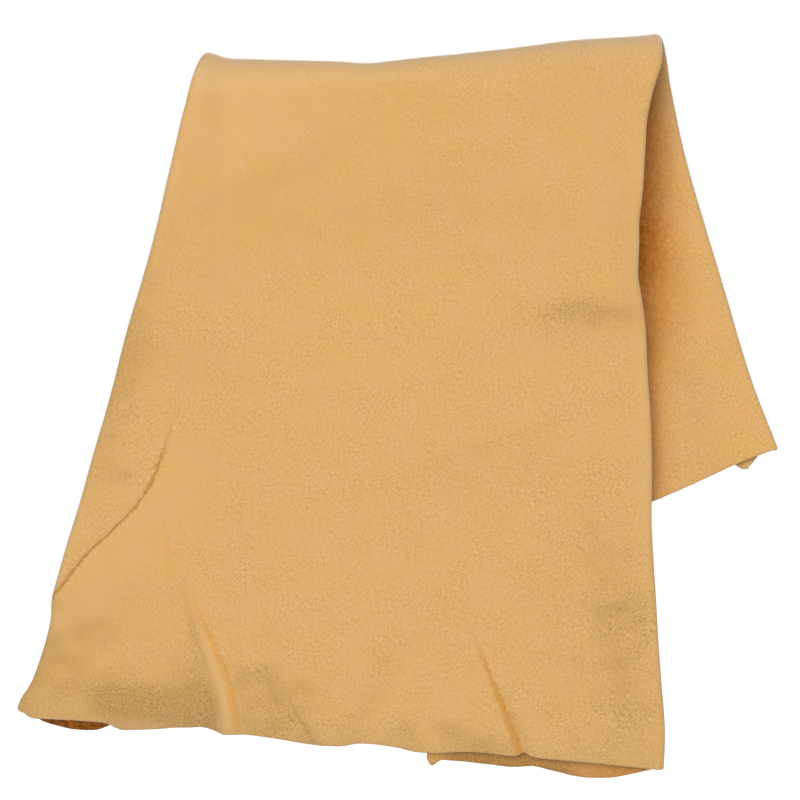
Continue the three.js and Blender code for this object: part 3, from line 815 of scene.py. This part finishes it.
def add_marks(mesh, part, ring):
    """Places on the flat skin, for the material's pattern, and the marks."""
    flat = skin[part]
    run = flat.reshape(-1, 2)
    layer = np.repeat([0, 1, 0], [len(run), len(run), len(ring[0])])
    pattern = np.column_stack([np.concatenate([run, run, flat[ring]]) * MM, INNER_SHIFT * layer])
    vector = mesh.attributes.new("skin", "FLOAT_VECTOR", "POINT")
    vector.data.foreach_set("vector", pattern.astype(np.float32).ravel())
    for label, sides in marks.items():
        face_out, face_in = (values[part] for values in sides)
        values = np.concatenate([face_out.ravel(), face_in.ravel(), face_out[ring]])
        slot = mesh.attributes.new(label, "FLOAT", "POINT")
        slot.data.foreach_set("value", values.astype(np.float32))


def add_flat_map(mesh, flat, lip_flat, faces):
    """The flat map: the outer side and the inner side next to each other, each with its rim."""
    outer, inner, rim_outer, rim_inner = faces
    low = flat.min(axis=0) - MAP_PAD
    size = flat.max(axis=0) + MAP_PAD - low
    shift = np.array([0.0, size[1]]) if size[0] > size[1] else np.array([size[0], 0.0])
    scale = 1 / (size + shift).max()
    sides = [flat - low, flat - low + shift]
    on_outer = np.concatenate([*sides, lip_flat - low]) * scale
    on_inner = np.concatenate([*sides, lip_flat - low + shift]) * scale
    loops = [on_outer[outer], on_inner[inner], on_outer[rim_outer], on_inner[rim_inner]]
    uv = mesh.uv_layers.new(name="OFBake")
    uv.data.foreach_set("uv", np.concatenate(loops).astype(np.float32).ravel())


def leather(name, first, last, cut_rows):
    """A closed sheet from rows first to last; cut_rows are ends that the skin runs on past."""
    part = slice(first, last + 1)
    grid, normal, flat = points[part], normals[part], skin[part]
    rows, columns = grid.shape[:2]
    ring = perimeter(rows, columns)
    out, out_flat = edge_ways(part, cut_rows)
    free = np.linalg.norm(out, axis=-1, keepdims=True) > 0
    half = LEATHER / 2 * np.where(free, EDGE_THIN, 1.0)
    places = np.concatenate([
        (grid + normal * half).reshape(-1, 3),
        (grid - normal * half).reshape(-1, 3),
        grid[ring] + EDGE_LIP * out[ring],
    ])
    tilt = EDGE_TILT * out
    directions = unit(np.concatenate([
        (normal + tilt).reshape(-1, 3),
        (tilt - normal).reshape(-1, 3),
        np.where(free[ring], out[ring], normal[ring]),
    ]))
    faces = sheet_faces(rows, columns, ring)
    all_faces = np.concatenate(faces)
    mesh = bpy.data.meshes.new(name)
    mesh.from_pydata((places * MM).tolist(), [], all_faces.tolist())
    mesh.polygons.foreach_set("use_smooth", np.ones(len(all_faces), bool))
    add_marks(mesh, part, ring)
    lip_flat = flat[ring] + out_flat[ring] * LEATHER / 2
    add_flat_map(mesh, flat.reshape(-1, 2), lip_flat, faces)

    # The inner side and the turned margins have the second material: the same suede without sheen, a
    # shaded copy for faces that lie mostly out of the light
    turned = (kind[0, :-1] == MARGIN) & (kind[0, 1:] == MARGIN)
    side_count = len(faces[0])
    finish = np.zeros(len(all_faces), np.int32)
    finish[:side_count] = np.tile(turned, rows - 1)
    finish[side_count:2 * side_count] = 1
    mesh.polygons.foreach_set("material_index", finish)
    mesh.normals_split_custom_set_from_vertices(directions.tolist())
    mesh.validate()
    return add_object(name, mesh)


chamois_front = leather("chamois_front", 0, front_crease, {front_crease})
chamois_crown = leather("chamois_crown", front_crease, back_crease, {0, back_crease - front_crease})
chamois_back = leather("chamois_back", back_crease, len(points) - 1, {0})

LINE_KNOTS = 9
MIX_SHARE, MIX_FIRST, MIX_SECOND, MIX_RESULT = 0, 6, 7, 2  # sockets of a colour mix


class Shader:
    """The nodes of a material or a world, with short ways to add and join them."""

    def __init__(self, owner):
        owner.use_nodes = True
        self.tree = owner.node_tree
        self.tree.nodes.clear()

    def put(self, socket, value):
        if isinstance(value, bpy.types.NodeSocket):
            self.tree.links.new(value, socket)
        else:
            socket.default_value = value

    def node(self, type_name, inputs=None, **settings):
        node = self.tree.nodes.new("ShaderNode" + type_name)
        for name, value in settings.items():
            setattr(node, name, value)
        for name, value in (inputs or {}).items():
            self.put(node.inputs[name], value)
        return node

    def mark(self, name, output="Fac"):
        return self.node("Attribute", attribute_name=name).outputs[output]

    def math(self, operation, *values, clamp=False):
        inputs = dict(enumerate(values))
        return self.node("Math", inputs, operation=operation, use_clamp=clamp).outputs[0]

    def times(self, first, second):
        return self.math("MULTIPLY", first, second)

    def noise(self, vector, scale, detail=3, roughness=0.6, distortion=0):
        inputs = {"Vector": vector, "Scale": scale, "Detail": detail}
        inputs |= {"Roughness": roughness, "Distortion": distortion}
        return self.node("TexNoise", inputs).outputs["Fac"]

    def span(self, value, low, high, start=0, end=1, way="SMOOTHSTEP"):
        """A value from low to high, as one from start to end."""
        inputs = {"Value": value, "From Min": low, "From Max": high, "To Min": start, "To Max": end}
        return self.node("MapRange", inputs, interpolation_type=way).outputs[0]

    def linear(self, value, low, high, start=0, end=1):
        return self.span(value, low, high, start, end, "LINEAR")

    def blend(self, share, first, second):
        inputs = {MIX_SHARE: share, MIX_FIRST: first, MIX_SECOND: second}
        return self.node("Mix", inputs, data_type="RGBA").outputs[MIX_RESULT]

    def tint(self, colour, second, mask, most):
        """A colour that turns into a second one by a mask, at most by a share."""
        return self.blend(self.times(mask, most), colour, second)

    def turned(self, vector, degrees, scale):
        """A vector turned about Z, then stretched."""
        inputs = {"Vector": vector, "Angle": math.radians(degrees)}
        rotated = self.node("VectorRotate", inputs, rotation_type="Z_AXIS").outputs[0]
        return self.node("VectorMath", {0: rotated, 1: scale}, operation="MULTIPLY").outputs[0]

    def line(self, u, v, path, drops, widths, fade_in=0.35, fade_out=0.998):
        """A soft thin line along x = path(drop), 0 to 1; it fades by shares of its length."""
        low, high = drops
        places = path(np.linspace(low, high, LINE_KNOTS))
        left, right = places.min() - 1, places.max() + 1
        share = self.linear(v, -(QUARTER + low) * MM, -(QUARTER + high) * MM)
        bend = self.node("FloatCurve", {"Value": share})
        knots = bend.mapping.curves[0].points
        for _ in range(LINE_KNOTS - 2):
            knots.new(0.5, 0.5)
        for knot, at, x in zip(knots, np.linspace(0, 1, LINE_KNOTS), places):
            knot.location = (at, (x - left) / (right - left))
        bend.mapping.update()
        x = self.linear(bend.outputs[0], 0, 1, left * MM, right * MM)
        away = self.math("ABSOLUTE", self.math("SUBTRACT", u, x))
        wide = self.linear(share, 0, 1, widths[0] * MM, widths[1] * MM)
        near = self.math("SUBTRACT", 1, self.math("DIVIDE", away, wide), clamp=True)
        begin = self.span(share, 0, fade_in)
        ends = self.times(begin, self.span(share, fade_out, 1, 1, 0))
        return self.times(self.span(near, 0.15, 0.75), ends)

    def either(self, share, first, second):
        """A mix of two shader nodes."""
        inputs = {0: share, 1: first.outputs[0], 2: second.outputs[0]}
        return self.node("MixShader", inputs)

    def end(self, output, surface):
        self.node(output, {"Surface": surface.outputs[0]})


# Colours of the skin and its nap; PALE is also painted light, and DUSKY, DARK and GAP_LOW are also
# painted shade
BUFF = (0.738, 0.434, 0.138, 1)
ROSY = (0.748, 0.434, 0.172, 1)
PALE = (0.78, 0.50, 0.225, 1)
LIGHT = (0.86, 0.525, 0.205, 1)
DUSKY = (0.52, 0.29, 0.09, 1)
DARK = (0.30, 0.15, 0.045, 1)
GAP = (0.53, 0.295, 0.083, 1)
GAP_LOW = (0.36, 0.19, 0.05, 1)
# Painted shade of the creases
DEEP = (0.66, 0.29, 0.04, 1)
CREASE = (0.54, 0.255, 0.05, 1)
HONEY = (0.76, 0.37, 0.065, 1)
# Painted shade of faces between the flaps, and in the left loop
INSIDE_SHADE = (0.62, 0.208, 0.021, 1)
INSIDE_SHADE_LOW = (0.48, 0.142, 0.011, 1)
LOOP_SHADE = (0.50, 0.165, 0.02, 1)
LOOP_SHADE_LOW = (0.22, 0.07, 0.008, 1)
SHEEN_TINT = (1, 0.97, 0.93, 1)

NAP_ANGLE = -48  # degrees; the way that the nap is brushed
WRINKLE_ANGLE = 14
FRAY = 5 * MM  # how far the nap frays a crease's line
FIBRE_RISE = 0.4 * MM
TUFT_RISE = 0.3 * MM
WRINKLE_DEPTH = 0.08 * MM
LINE_DEPTH = 0.12 * MM


def nap_of(s, skin_at):
    """Short fibres, all brushed one way, the tufts that they lie in, and how rough they are."""
    along_fibres = s.turned(skin_at, NAP_ANGLE, (0.6, 1.6, 1))
    along_tufts = s.turned(skin_at, NAP_ANGLE, (1, 1.5, 1))
    fibre = s.noise(along_fibres, scale=900, detail=2, distortion=0.2)
    tufts = s.noise(along_tufts, scale=280, distortion=0.4)
    patches = s.noise(skin_at, scale=48)
    rough = s.times(s.mark("nap"), s.span(patches, 0.36, 0.64, 0.5, 1.1))
    return fibre, tufts, rough


def skin_colour(s, skin_at, fibre, tufts, rough):
    """Blotches of the tanning, painted light with worn places, painted shade, the fibres, and painted
    shade between the flaps and in the left loop.
    """
    warm = s.noise(skin_at, scale=58, distortion=0.6)
    blotch = s.noise(skin_at, scale=90, detail=4, distortion=0.5)
    cloud = s.noise(skin_at, scale=12, roughness=0.5, distortion=0.4)
    colour = s.tint(BUFF, ROSY, s.span(warm, 0.4, 0.6), 0.8)
    colour = s.tint(colour, PALE, s.span(blotch, 0.38, 0.62), 0.14)
    colour = s.tint(colour, DUSKY, s.span(cloud, 0.42, 0.7), 0.06)
    colour = s.tint(colour, PALE, s.mark("painted_light_and_wear"), 0.8)
    shade = s.mark("shade")
    colour = s.blend(s.linear(shade, 0, 1, 0, 0.9), colour, DUSKY)
    colour = s.blend(s.linear(shade, 1, 2, 0, 0.8), colour, DARK)
    colour = s.tint(colour, LIGHT, rough, 0.12)
    gaps = s.times(s.linear(fibre, 0.52, 0.26), rough)
    colour = s.tint(colour, s.blend(shade, GAP, GAP_LOW), gaps, 0.8)
    tips = s.times(s.linear(fibre, 0.48, 0.74), rough)
    colour = s.blend(tips, colour, s.blend(shade, LIGHT, BUFF))
    mottle = s.span(tufts, 0.4, 0.6)
    inside_shade = s.mark("inside_shade")
    between = s.blend(mottle, INSIDE_SHADE_LOW, INSIDE_SHADE)
    in_loop = s.blend(mottle, LOOP_SHADE_LOW, LOOP_SHADE)
    colour = s.blend(s.linear(inside_shade, 0, 1, 0, 0.86), colour, between)
    return s.blend(s.linear(inside_shade, 1, 2, 0, 0.9), colour, in_loop)


def crease_lines(s, skin_at, fibre, tufts):
    """Thin lines of painted shade in the creases of the outer side, frayed by the nap."""
    parts = s.node("SeparateXYZ", {"Vector": skin_at}).outputs
    ragged = s.math("ADD", s.math("SUBTRACT", fibre, 0.5), s.math("SUBTRACT", tufts, 0.5))
    u = s.math("ADD", parts["X"], s.times(ragged, FRAY))
    v = parts["Y"]
    outer_side = s.math("LESS_THAN", parts["Z"], INNER_SHIFT / 2)
    valley = s.line(u, v, valley_line, VALLEY_DROPS, (1.5, 1.8))
    faint = s.line(u, v, faint_line, (204, 246), (1.4, 2), fade_out=0.6)
    pleat = s.line(u, v, pleat_line, (236, 324), (1.6, 3.4), fade_out=0.85)
    pleat = s.math("MAXIMUM", s.times(faint, 0.5), pleat)
    second = s.line(u, v, second_line, (290, 330), (1.4, 2.4), fade_in=0.7)
    groove = s.line(u, v, groove_line, (258, 339), (1.1, 4), fade_in=0.6)
    return [s.times(line, outer_side) for line in (valley, pleat, second, groove)]


def wrinkles(s, skin_at):
    """Fine wrinkles that come and go."""
    along_wrinkles = s.turned(skin_at, WRINKLE_ANGLE, (0.45, 1.2, 1))
    wavy = s.noise(along_wrinkles, scale=46, roughness=0.5, distortion=1.2)
    ridge = s.math("ABSOLUTE", s.math("SUBTRACT", wavy, 0.5))
    here = s.span(s.noise(skin_at, scale=11, detail=2, roughness=0.5), 0.5, 0.64)
    return s.times(s.span(ridge, 0.012, 0), here)


def chamois_material(name, sheen):
    """Suede: a brushed nap on a mottled skin, with lines of painted shade in its creases."""
    material = bpy.data.materials.new(name)
    s = Shader(material)
    skin_at = s.mark("skin", "Vector")
    fibre, tufts, rough = nap_of(s, skin_at)
    valley, pleat, second, groove = crease_lines(s, skin_at, fibre, tufts)
    veins = wrinkles(s, skin_at)
    colour = skin_colour(s, skin_at, fibre, tufts, rough)
    # Painted shade along the pleat, the second crease, the groove and the valley, and faintly along
    # the wrinkles
    colour = s.tint(colour, HONEY, pleat, 0.75)
    colour = s.tint(colour, GAP_LOW, second, 0.3)
    colour = s.tint(colour, DEEP, groove, 0.75)
    colour = s.tint(colour, CREASE, valley, 0.9)
    colour = s.tint(colour, DEEP, veins, 0.12)

    # Fine relief
    creases = s.math("MAXIMUM", valley, s.math("MAXIMUM", groove, pleat))
    fibre_rise = s.times(s.times(fibre, rough), FIBRE_RISE)
    tuft_rise = s.times(s.times(tufts, rough), TUFT_RISE)
    rise = s.math("ADD", fibre_rise, tuft_rise)
    rise = s.math("SUBTRACT", rise, s.times(veins, WRINKLE_DEPTH))
    rise = s.math("SUBTRACT", rise, s.times(creases, LINE_DEPTH))
    bump = s.node("Bump", {"Height": rise, "Distance": 1, "Strength": 1})
    surface = s.node("BsdfPrincipled", {
        "Base Color": colour,
        "Roughness": 0.92,
        "Specular IOR Level": 0.15,
        "Diffuse Roughness": 0.15,
        "Sheen Weight": sheen,
        "Sheen Roughness": 0.5,
        "Sheen Tint": SHEEN_TINT,
        "Normal": bump.outputs[0],
    })
    s.end("OutputMaterial", surface)
    return material


# The same suede with sheen, and a shaded copy of it without sheen
outer_hide = chamois_material("chamois", sheen=0.55)
inner_hide = chamois_material("chamois_inside", sheen=0)
for piece in (chamois_front, chamois_crown, chamois_back):
    piece.data.materials.append(outer_hide)
    piece.data.materials.append(inner_hide)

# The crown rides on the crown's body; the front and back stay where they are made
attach(chamois_crown, "crown")
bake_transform(chamois_front)
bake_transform(chamois_back)
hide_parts("top_fold", "top_left_margin", "top_right_margin")
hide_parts("front_panel", "front_left_margin", "front_right_margin")
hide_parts("back_panel", "back_left_margin", "back_right_margin")

# Studio, in metres: a pale floor well below, a white surround and soft lamps
WHITE = (1, 1, 1, 1)
FLOOR_GREY = (0.4, 0.4, 0.4, 1)
FLOOR_GLOW = 1.15
FLOOR_GLOW_SHARE = 0.85  # the rest of the floor takes the object's shadow
FLOOR_DROP = 1.05
FLOOR_HALF = 6


def seen(s):
    """1 where the camera, a reflection or glass looks."""
    path = s.node("LightPath").outputs
    rays = s.math("MAXIMUM", path["Is Camera Ray"], path["Is Glossy Ray"])
    return s.math("MAXIMUM", rays, path["Is Transmission Ray"])


def make_floor():
    """A plain floor that glows to the camera and still takes a shadow."""
    mesh = bpy.data.meshes.new("floor")
    corners = [(-1, -1), (1, -1), (1, 1), (-1, 1)]
    places = [(x * FLOOR_HALF, y * FLOOR_HALF, -FLOOR_DROP) for x, y in corners]
    mesh.from_pydata(places, [], [(0, 1, 2, 3)])
    material = bpy.data.materials.new("floor")
    s = Shader(material)
    matt = s.node("BsdfDiffuse", {"Color": FLOOR_GREY})
    glow = s.node("Emission", {"Color": WHITE, "Strength": FLOOR_GLOW})
    both = s.either(s.times(seen(s), FLOOR_GLOW_SHARE), matt, glow)
    s.end("OutputMaterial", both)
    mesh.materials.append(material)
    floor = add_object("floor", mesh)


def make_world(ahead_strength, behind_strength):
    """A dim surround with a bright backdrop behind the object; white to the camera."""
    world = bpy.data.worlds.new("studio")
    bpy.context.scene.world = world
    s = Shader(world)
    way = s.node("TexCoord").outputs["Generated"]
    parts = s.node("SeparateXYZ", {"Vector": way}).outputs
    strength = s.span(parts["Y"], -0.1, 0.6, ahead_strength, behind_strength)
    strength = s.times(strength, s.span(parts["Z"], 0.15, 0.7, 1, 0.85))
    light = s.node("Background", {"Color": WHITE, "Strength": strength})
    white = s.node("Background", {"Color": WHITE, "Strength": 1})
    s.end("OutputWorld", s.either(seen(s), light, white))


def lamp(name, place, aim, size, power):
    """A round soft lamp; its size is in metres and its power in watts."""
    light = bpy.data.lights.new(name, "AREA")
    light.shape = "DISK"
    light.size = size
    light.energy = power
    holder = add_object(name, light)
    holder.location = place
    holder.rotation_euler = (Vector(aim) - Vector(place)).to_track_quat("-Z", "Y").to_euler()


MIDDLE = (0, 0, -0.15)
make_floor()
make_world(ahead_strength=0.16, behind_strength=0.3)
lamp("key", (-1, -4.9, 1.6), MIDDLE, size=3, power=227)
lamp("side", (4, -2, 0.2), MIDDLE, size=2, power=34)
lamp("behind", (0.1, 3.4, 0.2), MIDDLE, size=2, power=90)

# The camera, at the photograph's angle: a little above, and rolled
LENS = 105
SENSOR = 36
TILT = math.radians(8.0)
ROLL = math.radians(2.05)
AIM = Vector((-0.010, -0.019, -0.152))
DISTANCE = 1.167


def make_camera():
    ahead = Vector((0.0, math.cos(TILT), -math.sin(TILT)))
    level = Vector((1.0, 0.0, 0.0))
    upright = Vector((0.0, math.sin(TILT), math.cos(TILT)))
    right = math.cos(ROLL) * level - math.sin(ROLL) * upright
    up = math.sin(ROLL) * level + math.cos(ROLL) * upright
    lens = bpy.data.cameras.new("camera")
    lens.lens = LENS
    lens.sensor_width = SENSOR
    camera = add_object("camera", lens)
    facing = Matrix((right, up, -ahead)).transposed().to_4x4()
    camera.matrix_world = Matrix.Translation(AIM - ahead * DISTANCE) @ facing
    bpy.context.scene.camera = camera


make_camera()
bpy.context.scene.view_settings.view_transform = "Standard"
